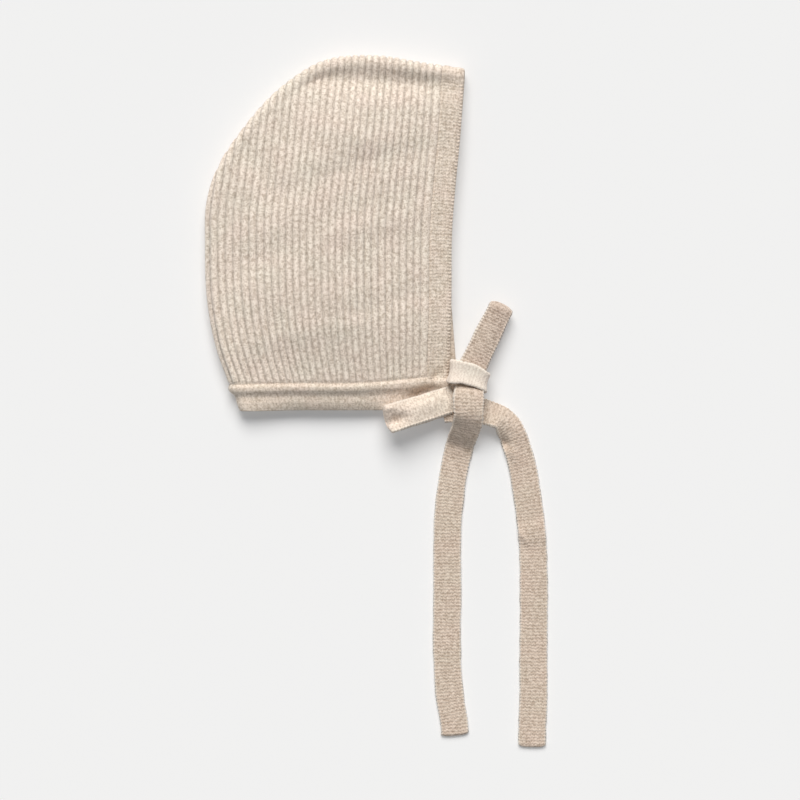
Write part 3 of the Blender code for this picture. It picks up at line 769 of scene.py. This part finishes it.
def add_panel(name, far, row_step, material):
    """One ribbed side: its rows go from the crown down to the neck band, its columns from the
    face band back."""
    shares = np.arange(RIB_COUNT * RIB_COLUMNS + 1) / (RIB_COUNT * RIB_COLUMNS)
    wales = shares * RIB_COUNT
    shift = np.random.default_rng(RIB_SEED).uniform(-0.5, 0.5, RIB_COUNT + 2)
    offset = np.interp(wales, np.arange(RIB_COUNT + 2) - 0.5, shift)
    profile = np.interp(wales % 1.0, column(RIB_PROFILE, 0), column(RIB_PROFILE, 1))
    tops = crown_heights(lambda y: rib_x(shares, y, far), len(shares))
    bottoms = neck_top(rib_x(shares, NECK_BAND_WIDTH, far)) - SEAM_LAP
    turn = TURN_FINE[-1]
    longest = (tops - bottoms).max() - turn
    count = round((longest / row_step + len(TURN_FINE) - 1) / BACK_STEP) * BACK_STEP
    rest = count + 1 - len(TURN_FINE)
    rows = [tops - step for step in TURN_FINE]
    rows += [tops - turn + (bottoms - tops + turn) * k / rest for k in range(1, rest + 1)]
    outer = []
    inner = []
    uv = []
    for y in rows:
        x = rib_x(shares, y, far)
        x = x + (GAP + SEAM_LAP) * (1.0 - smooth(wales / FACE_LAP_WALES))
        middle, out = cloth(x, y, far)
        courses = y / COURSE + offset
        knit = stitch_relief(wales, courses, LEG_RISE_RIB) - 0.5
        knit = knit * (GROOVE_STITCHES + (1.0 - GROOVE_STITCHES) * profile)
        relief = RIB_RELIEF * profile + RIB_STITCH_RELIEF * knit
        relief = relief * smooth((y - bottoms) / LAP_RUN)
        relief = relief * smooth((wales - FACE_LAP_START) / FACE_LAP_RUN)
        outer.append(rest_on_floor(middle + out * (PANEL_WALL / 2 + relief)[:, None]))
        inner.append(middle - out * PANEL_WALL / 2)
        uv.append(np.column_stack([wales, courses]))
    grids = (np.array(grid) for grid in (outer, inner, uv))
    piece = add_cloth(name, *grids, material, "ribbed_knit", RIB_COLUMNS)


def hang(side, across, width, droop):
    """Lowers the free edge of a band's side by droop, and turns its normals to suit."""
    share = np.clip(1.0 - across / DROOP_RUN, 0.0, 1.0)
    for k, (place, out) in enumerate(side):
        fade = smooth(k / DROOP_SECTIONS)
        place[:, 2] -= droop * fade * share**2
        out[:, 1] -= out[:, 2] * 2.0 * droop * fade * share / (DROOP_RUN * width)


def add_band(name, rows, width, length, sides, material, droop=0.0, teeth=0.0):
    """A band that goes over from the near side to the far side: sides gives, for each side, the
    plan points of its sections from the turn on. droop lowers the near side's free edge, and
    teeth stand out along its upper edge."""
    across = sides[0][0][2]
    outer_share = by_rows(rows, across)
    near = [cloth(x, y, False) for x, y, _ in sides[0]]
    far = [cloth(x, y, True) for x, y, _ in sides[1]]
    hang(near, across, width, droop)
    sections = near[::-1] + far[1:]
    more = (1 - len(sections)) % BACK_STEP
    points = even_sections(np.array([place for place, _ in sections]), more)
    outs = unit(even_sections(np.array([out for _, out in sections]), more))
    points = fold(points, outs)
    courses = run_of(points[:, len(across) // 2]) / COURSE
    wales = across * round(width / WALE)
    wales, courses = np.meshgrid(wales, courses)
    courses = uneven(wales, courses, BAND_SEED)
    knit = stitch_relief(wales, courses, LEG_RISE_PLAIN) - 0.5
    edge = smooth((across - EDGE_FROM) / EDGE_FADE) + smooth((LOW_EDGE - across) / LOW_EDGE)
    relief = outer_share * BAND_WALL + BAND_STITCH_RELIEF * knit * (1.0 + EDGE_STITCHES * edge)
    tooth = np.cos(2.0 * math.pi * courses) * smooth((across - TEETH_FROM) / EDGE_FADE)
    outer = points + outs * (relief + teeth * tooth)[..., None]
    inner = points - outs * (np.minimum(outer_share, 0.5) * BAND_WALL)[None, :, None]
    grids = (rest_on_floor(outer), rest_on_floor(inner), np.dstack([wales, courses]))
    piece = add_cloth(name, *grids, material, "band_knit")


def from_turn(start, end):
    """Places from start to end, close together at the turn of the cloth where they start."""
    ahead = np.sign((end - start).mean())
    turn = TURN_FINE[-1] * ahead
    count = max(1, round((abs(end - start).mean() - TURN_FINE[-1]) / BAND_ROW))
    places = [start + step * ahead for step in TURN_FINE]
    return places + [start + turn + (end - start - turn) * k / count for k in range(1, count + 1)]


def face_sides():
    """The face band's sections on the near side and on the far side, for add_band."""
    across = np.linspace(0.0, 1.0, FACE_BAND_COLUMNS)
    forward = -FACE_BAND_WIDTH * (1.0 - across)
    sides = []
    for far in (False, True):
        top = crown_heights(lambda y: face_x(y, far) + forward, len(across))
        bottom = neck_top(face_x(NECK_BAND_WIDTH, far) + forward) - SEAM_LAP
        sides.append([(face_x(y, far) + forward, y, across) for y in from_turn(top, bottom)])
    return sides


def neck_sides():
    """The same of the neck band."""
    across = np.linspace(NECK_BAND_ROWS[0][0], 1.0, NECK_BAND_COLUMNS)
    sides = []
    for far in (False, True):
        front = face_x(across * (NECK_BAND_WIDTH + NECK_RISE), far)
        back = back_x(across * NECK_BAND_WIDTH)
        sides.append([(x, across * neck_top(x), across) for x in from_turn(back, front)])
    return sides


def frames_of(ahead, headings, tilts):
    """The ways across and out of a tie at each of its sections, which look ahead."""
    heading = np.radians(headings)
    tilt = np.radians(tilts)
    level = np.cos(tilt)
    across = np.column_stack([np.sin(heading) * level, -np.cos(heading) * level, -np.sin(tilt)])
    across = unit(across - ahead * (across * ahead).sum(axis=1)[:, None])
    return across, np.cross(across, ahead)


def tie_section(shares, knit):
    """How far the upper and the lower face of a tie lie from its middle."""
    thick = np.sqrt(np.maximum(1.0 - np.abs(shares) ** EDGE_SQUARENESS, 0.0))
    half = TIE_WALL / 2 * (EDGE_WALL + (1.0 - EDGE_WALL) * thick)
    roll = EDGE_ROLL * np.exp(-(((np.abs(shares) - EDGE_ROLL_AT) / EDGE_ROLL_WIDTH) ** 2))
    return (half + roll)[None] + TIE_STITCH_RELIEF * knit, half[None]


def add_strap(name, lay, material, seed, ring=False, bound=False, crown=0.0, pull=0.0):
    """A flat tie. lay gives, for each of its sections, the middle, the heading and the tilt in
    degrees, and the width. The width lies square to the heading on the plan, and a positive tilt
    lifts the left edge. A ring is closed, and a bound tie has its far end bound off. crown
    raises its middle, and pull moves its corners."""
    centres, headings, tilts, widths = lay
    if ring:
        ahead = unit(np.roll(centres, -1, axis=0) - np.roll(centres, 1, axis=0))
        ahead = np.vstack([ahead, ahead[:1]])
        centres = np.vstack([centres, centres[:1]])
        headings, tilts, widths = (np.append(row, row[0]) for row in (headings, tilts, widths))
    else:
        ahead = unit(np.gradient(centres, axis=0))
    across, out = frames_of(ahead, headings, tilts)
    run = run_of(centres)
    courses = run / COURSE
    if ring:
        courses = courses * round(courses[-1]) / courses[-1]
    shares = np.linspace(-1.0, 1.0, TIE_COLUMNS)
    shares = TIE_CROWDING * np.sin(math.pi / 2 * shares) + (1.0 - TIE_CROWDING) * shares
    width = np.mean(widths)
    wales, courses = np.meshgrid((shares + 1.0) / 2.0 * round(width / WALE), courses)
    if not ring:
        courses = uneven(wales, courses, seed)
    knit = stitch_relief(wales, courses, LEG_RISE_PLAIN) - 0.5
    upper, lower = tie_section(shares, knit)
    end = np.ones(len(run))
    if bound:
        end = END_WALL + (1.0 - END_WALL) * smooth((run[-1] - run) / END_RUN)
    teeth = EDGE_TEETH / (width / 2) * np.cos(2.0 * math.pi * courses)
    half_widths = widths / 2 * (1.0 + RIPPLE_SHARE * ripple(run, seed))
    aside = shares[None] * (1.0 + teeth * np.abs(shares) ** TEETH_SHARPNESS) * half_widths[:, None]
    rise = np.broadcast_to(crown, len(run))[:, None] * (CROWN_LEVEL - shares**2)[None]
    corner = np.abs(shares) ** CORNER_SHARPNESS
    middle = centres[:, None] + across[:, None] * aside[..., None] + out[:, None] * rise[..., None]
    middle = middle + np.broadcast_to(pull, (len(run), 3))[:, None] * corner[None, :, None]
    middle = fold(middle, np.broadcast_to(out[:, None], middle.shape))
    outer = rest_on_floor(middle + out[:, None] * (upper * end[:, None])[..., None])
    inner = rest_on_floor(middle - out[:, None] * (lower * end[:, None])[..., None])
    piece = add_cloth(name, outer, inner, np.dstack([wales, courses]), material, "tie_knit")


def tie_height():
    """Middle of the tie under the wrap's upper run, at the knot's middle."""
    return KNOT_HEIGHT + WRAP_HEIGHT / 2 - TIE_WALL - WRAP_SLACK


def wrap_outline():
    """Places round the wrap's cross-section, along the knot and up, and its length."""
    turn = np.linspace(0.0, 2.0 * math.pi, WRAP_FINE_PLACES, endpoint=False)
    power = np.where(turn < math.pi, 2.0 / WRAP_ROUNDNESS[0], 2.0 / WRAP_ROUNDNESS[1])
    along = np.sign(np.cos(turn)) * np.abs(np.cos(turn)) ** power * WRAP_LENGTH / 2 * WRAP_SHARE
    up = np.sign(np.sin(turn)) * np.abs(np.sin(turn)) ** power * WRAP_HEIGHT / 2
    outline = np.column_stack([along, up])
    outline = np.vstack([outline, outline[:1]])
    run = run_of(outline)
    at = np.linspace(0.0, run[-1], WRAP_PLACES, endpoint=False)
    return np.interp(at, run, outline[:, 0]), np.interp(at, run, outline[:, 1]), run[-1]


def add_wrap(name, material):
    along, up, length = wrap_outline()
    tilt = math.radians(KNOT_TILT)
    heading = math.radians(KNOT_HEADING)
    forward = along * math.cos(tilt) - up * math.sin(tilt)
    centres = np.column_stack(
        [
            KNOT[0] + forward * math.cos(heading),
            KNOT[1] + forward * math.sin(heading),
            KNOT[2] + along * math.sin(tilt) + up * math.cos(tilt),
        ]
    )
    from_middle = (2.0 * along / WRAP_LENGTH) ** 2
    centres[:, :2] += WRAP_SHIFT
    centres[:, 1] -= WRAP_SAG * from_middle
    headings = KNOT_HEADING + WRAP_TWIST * from_middle
    tilts = np.full(len(along), WRAP_LEAN)
    widths = WRAP_WIDTH * (1.0 - WRAP_TAPER * smooth(0.5 + along / WRAP_LENGTH))
    lay = (centres, headings, tilts, widths)
    add_strap(name, lay, material, WRAP_SEED, ring=True, crown=WRAP_CROWN)


def along_tail(rows):
    """Shares along a tail's rows, and smooth curves through their columns there."""
    run = run_of(np.column_stack([column(rows, 0), column(rows, 1)]))
    at = run[-1] * np.linspace(0.0, 1.0, TAIL_PLACES)
    return at, [curve(run, column(rows, k), at) for k in range(len(rows[0]))]


def left_tail():
    at, (down, forward, tilt, heading) = along_tail(LEFT_TAIL_ROWS)
    spread = by_rows(TAIL_SPREAD_ROWS, down)
    forward = forward - SPREAD_TO_LEFT * spread * TIE_WIDTH / TAIL_LENGTH
    widths = TIE_WIDTH * (1.0 + spread)
    return at[-1], down, forward, by_rows(TAIL_FALL_ROWS, down), tilt, heading, widths


def right_tail():
    at, (down, forward, level, tilt, heading) = along_tail(RIGHT_START_ROWS + RIGHT_TAIL_ROWS)
    wave = np.exp(-(((down - RIGHT_WAVE_AT) / RIGHT_WAVE_WIDTH) ** 2))
    level = level * (1.0 - RIGHT_WAVE_LOWER * wave)
    tilt = tilt + by_rows(RIGHT_LEAN_ROWS, down)
    narrow = (1.0 - RIGHT_START_SHARE) * (1.0 - smooth(at / RIGHT_START_RUN))
    return at[-1], down, forward, level, tilt, heading, TIE_WIDTH * (1.0 - narrow)


def add_tail(name, tail, material, seed):
    """A hanging end of a tie, from left_tail or right_tail."""
    length, down, forward, level, tilts, headings, widths = tail
    floor = TIE_WALL / 2
    z = floor + level * (tie_height() - floor)
    centres = np.column_stack([KNOT[0] + forward * TAIL_LENGTH, KNOT[1] - down * TAIL_LENGTH, z])
    raised = np.clip(level, 0.0, 1.0)
    crown = TAIL_CROWN * (TAIL_CROWN_ON_FLOOR + (1.0 - TAIL_CROWN_ON_FLOOR) * raised)
    way = np.radians(headings)
    left = run_of(centres)
    near_end = smooth((left - left[-1]) / CORNER_PULL_RUN + 1.0)
    pull = -CORNER_PULL * near_end[:, None] * np.column_stack([np.cos(way), np.sin(way), 0.0 * way])
    lay = (centres, headings, tilts, widths)
    add_strap(name, lay, material, seed, bound=True, crown=crown, pull=pull)


def add_loop(name, start, heading, spread, length, widths, heights, fall, tilt, material, seed):
    """A loop of the bow: out from its start, round a turn and back below. heights are those
    between its two layers, fall is its upper layer's and spread turns the way back."""
    radius = heights[1] / 2
    straight = length - radius - TIE_WALL / 2
    out_at = np.linspace(GAP / 2, straight, LOOP_PLACES)
    share = smooth(out_at / straight)
    upper = start[2] - fall * share
    lower = upper - heights[0] - (heights[1] - heights[0]) * share
    turn = np.linspace(math.pi / 2, -math.pi / 2, LOOP_TURN_PLACES)[1:-1]
    turn = np.append(turn, -math.pi / 2 * LOOP_TURN_END)
    turn_at = straight + radius * np.cos(turn)
    turn_z = (upper[-1] + lower[-1]) / 2 + radius * np.sin(turn)
    at = np.concatenate([out_at, turn_at, out_at[::-1][1:]])
    z = np.concatenate([upper, turn_z, lower[::-1][1:]])
    turned = np.repeat([0.0, spread / 2, spread], [len(out_at), len(turn_at), len(out_at) - 1])
    keep = (len(at) - 1) // BACK_STEP * BACK_STEP + 1
    at = at[:keep]
    headings = heading + turned[:keep]
    way = math.radians(heading)
    ahead = np.array([math.cos(way), math.sin(way)])
    back = np.radians(headings)
    end = start[:2] + straight * ahead
    beyond = at - straight
    x = end[0] + beyond * np.cos(back)
    y = end[1] + beyond * np.sin(back)
    wide = widths[0] + (widths[1] - widths[0]) * np.clip(at / straight, 0.0, 1.0)
    near_end = smooth((beyond + CORNER_PULL_RUN) / (radius + CORNER_PULL_RUN))
    pull = -CORNER_PULL * near_end[:, None] * np.append(ahead, 0.0)
    lay = (np.column_stack([x, y, z[:keep]]), headings, np.full(keep, tilt), wide)
    add_strap(name, lay, material, seed, crown=LOOP_CROWN, pull=pull)


class Nodes:
    """Short calls for the nodes of one material."""

    def __init__(self, name):
        self.material = bpy.data.materials.new(name)
        self.material.use_nodes = True
        self.tree = self.material.node_tree
        self.shader = self.tree.nodes["Principled BSDF"]

    def add(self, kind, **settings):
        node = self.tree.nodes.new(kind)
        for key, value in settings.items():
            setattr(node, key, value)
        return node

    def put(self, socket, value):
        if isinstance(value, bpy.types.NodeSocket):
            self.tree.links.new(value, socket)
        else:
            socket.default_value = value

    def shade(self, values):
        for key, value in values.items():
            self.put(self.shader.inputs[key], value)

    def math(self, operation, a, b=0.0, c=0.0):
        node = self.add("ShaderNodeMath", operation=operation)
        for socket, value in zip(node.inputs, (a, b, c)):
            self.put(socket, value)
        return node.outputs[0]

    def share(self, value):
        """The value, held between 0 and 1."""
        return self.math("MINIMUM", self.math("MAXIMUM", value, 0.0), 1.0)

    def about_half(self, value, middle, spread, half=0.5):
        """The value's distance from its middle, spread about a half."""
        return self.math("MULTIPLY_ADD", self.math("SUBTRACT", value, middle), spread, half)

    def noise(self, where, scale, detail, seed):
        node = self.add("ShaderNodeTexNoise", noise_dimensions="4D")
        self.put(node.inputs["Vector"], where)
        node.inputs["W"].default_value = seed
        node.inputs["Scale"].default_value = scale
        node.inputs["Detail"].default_value = detail
        return node.outputs[0]

    def mix(self, share, a, b, blend="MIX"):
        node = self.add("ShaderNodeMix", data_type="RGBA", blend_type=blend)
        self.put(node.inputs[0], share)
        self.put(node.inputs[6], a)
        self.put(node.inputs[7], b)
        return node.outputs[2]


def knit_material(name):
    """Heathered yarn, knitted as KNITS says, with painted shade between the wales and a painted
    highlight along a tie's edges.
    """
    look = KNITS[name]
    n = Nodes(name)
    place = n.add("ShaderNodeTexCoord")
    split = n.add("ShaderNodeSeparateXYZ")
    n.put(split.inputs[0], place.outputs["UV"])
    wales, courses = split.outputs[0], split.outputs[1]
    half = n.math("ABSOLUTE", n.math("SUBTRACT", n.math("FRACT", wales), 0.5))
    leg = n.math("MULTIPLY", half, 2.0)
    phase = n.math("SUBTRACT", courses, n.math("MULTIPLY", leg, look.rise))
    loops = n.math("COSINE", n.math("MULTIPLY", phase, 2.0 * math.pi))
    loops = n.math("MULTIPLY_ADD", loops, 0.5, 0.5)
    here = place.outputs["Object"]
    noises = [n.noise(here, scale, detail, look.seed + step) for scale, detail, step, _ in YARN_ROWS]
    weights = [weight for *_, weight in YARN_ROWS]
    heather = 0.0
    for noise, weight in zip(noises, weights):
        heather = n.math("MULTIPLY_ADD", noise, weight, heather)
    heather = n.about_half(heather, sum(weights) / 2, look.contrast, YARN_MIDDLE)
    fibres = n.share(n.math("MULTIPLY_ADD", n.math("SUBTRACT", loops, 0.5), look.stitch, heather))
    colour = n.mix(fibres, (*look.dark, 1.0), (*look.light, 1.0))
    # Painted highlight along the edges of a tie
    if look.wales:
        from_edge = n.math("MINIMUM", wales, n.math("SUBTRACT", float(look.wales), wales))
        edge = n.math("MAXIMUM", n.math("MULTIPLY_ADD", from_edge, -EDGE_HIGHLIGHT_FALL, 1.0), 0.0)
        edge = n.math("MULTIPLY", edge, n.math("MULTIPLY_ADD", loops, EDGE_HIGHLIGHT_LOOPS, 1.0 - EDGE_HIGHLIGHT_LOOPS))
        colour = n.mix(edge, colour, EDGE_HIGHLIGHT)
    patch = n.noise(here, PATCH_SCALE, 1.0, look.seed + PATCH_SEED)
    tint = n.mix(n.share(n.about_half(patch, 0.5, PATCH_SPREAD)), *PATCH_TINTS)
    colour = n.mix(PATCH_SHARE, colour, tint, "MULTIPLY")
    # Painted shade in the grooves between the wales
    between = n.math("POWER", leg, GROOVE_SHADE_POWER)
    shade = n.math("SUBTRACT", 1.0, n.math("MULTIPLY", between, look.groove_shade))
    painted_groove_shade = n.add("ShaderNodeCombineXYZ")
    for socket in painted_groove_shade.inputs:
        n.put(socket, shade)
    colour = n.mix(1.0, colour, painted_groove_shade.outputs[0], "MULTIPLY")
    bump = n.add("ShaderNodeBump")
    stitches = n.math("MULTIPLY", loops, look.stitch)
    n.put(bump.inputs["Height"], n.math("MULTIPLY_ADD", noises[0], FUZZ, stitches))
    bump.inputs["Strength"].default_value = BUMP_STRENGTH
    bump.inputs["Distance"].default_value = BUMP_DISTANCE
    n.shade({"Base Color": colour, "Normal": bump.outputs[0], **KNIT_SHADER})
    return n.material


def add_stage():
    floor_mesh = bpy.data.meshes.new("floor")
    ways = ((-1, -1), (1, -1), (1, 1), (-1, 1))
    corners = [(x * FLOOR_HALF, y * FLOOR_HALF, FLOOR_HEIGHT) for x, y in ways]
    floor_mesh.from_pydata(corners, [], [(0, 1, 2, 3)])
    floor = bpy.data.objects.new("floor", floor_mesh)
    bpy.context.scene.collection.objects.link(floor)
    n = Nodes("paper")
    n.shade(FLOOR_SHADER)
    floor_mesh.materials.append(n.material)


def add_light():
    light = bpy.data.lights.new("key", "SUN")
    light.energy = KEY_STRENGTH
    light.color = KEY_COLOUR
    light.angle = math.radians(KEY_SPREAD)
    holder = bpy.data.objects.new("key", light)
    holder.rotation_euler = Vector(KEY_TOWARDS).to_track_quat("-Z", "Y").to_euler()
    bpy.context.scene.collection.objects.link(holder)


def add_studio():
    scene = bpy.context.scene
    scene.view_settings.view_transform = "Standard"
    world = bpy.data.worlds.new("studio")
    world.use_nodes = True
    background = world.node_tree.nodes["Background"]
    background.inputs["Color"].default_value = SKY_COLOUR
    background.inputs["Strength"].default_value = SKY_STRENGTH
    scene.world = world
    add_light()
    camera = bpy.data.cameras.new("camera")
    camera.sensor_width = CAMERA_SENSOR
    camera.lens = CAMERA_LENS
    camera.clip_end = CAMERA_FAR
    holder = bpy.data.objects.new("camera", camera)
    holder.location = (*(PLAN_ORIGIN[:2] + CAMERA_FROM_CORNER), CAMERA_HEIGHT)
    scene.collection.objects.link(holder)
    scene.camera = holder


def dress():
    # The upper loop gets the tie's knit painted darker for shade, the left loop and the wrap get it
    # painted lighter for light
    ribbed, band, tie, upper, lit_loop, lit_wrap = (knit_material(name) for name in KNITS)
    add_panel("side_panel_near", False, NEAR_ROW, ribbed)
    add_panel("side_panel_far", True, FAR_ROW, ribbed)
    face = (FACE_BAND_ROWS, FACE_BAND_WIDTH, FACE_BAND_LENGTH)
    neck = (NECK_BAND_ROWS, NECK_BAND_WIDTH, NECK_BAND_LENGTH)
    add_band("face_band", *face, face_sides(), band, teeth=EDGE_TEETH)
    add_band("neck_band", *neck, neck_sides(), band, droop=NECK_DROOP)
    add_wrap("bow_knot", lit_wrap)
    add_loop(
        "bow_loop_upper",
        np.array([KNOT[0] + UPPER_LOOP_START, KNOT[1], tie_height()]),
        UPPER_LOOP_HEADING,
        UPPER_LOOP_SPREAD,
        UPPER_LOOP_LENGTH,
        UPPER_LOOP_WIDTHS,
        UPPER_LOOP_HEIGHTS,
        UPPER_LOOP_FALL,
        UPPER_LOOP_TILT,
        upper,
        UPPER_LOOP_SEED,
    )
    add_loop(
        "bow_loop_left",
        np.array([*np.add(LEFT_LOOP_START, LEFT_LOOP_SHIFT), LEFT_LOOP_TOP]),
        LEFT_LOOP_HEADING,
        LEFT_LOOP_SPREAD_SHARE * LEFT_LOOP_SPREAD,
        LEFT_LOOP_LENGTH - LEFT_LOOP_SHORTER,
        LEFT_LOOP_WIDTHS,
        LEFT_LOOP_HEIGHTS,
        LEFT_LOOP_FALL_SHARE * LEFT_LOOP_FALL,
        LEFT_LOOP_TILT + LEFT_LOOP_LEAN,
        lit_loop,
        LEFT_LOOP_SEED,
    )
    add_tail("tail_left", left_tail(), tie, LEFT_TAIL_SEED)
    add_tail("tail_right", right_tail(), tie, RIGHT_TAIL_SEED)


dress()
add_stage()
add_studio()
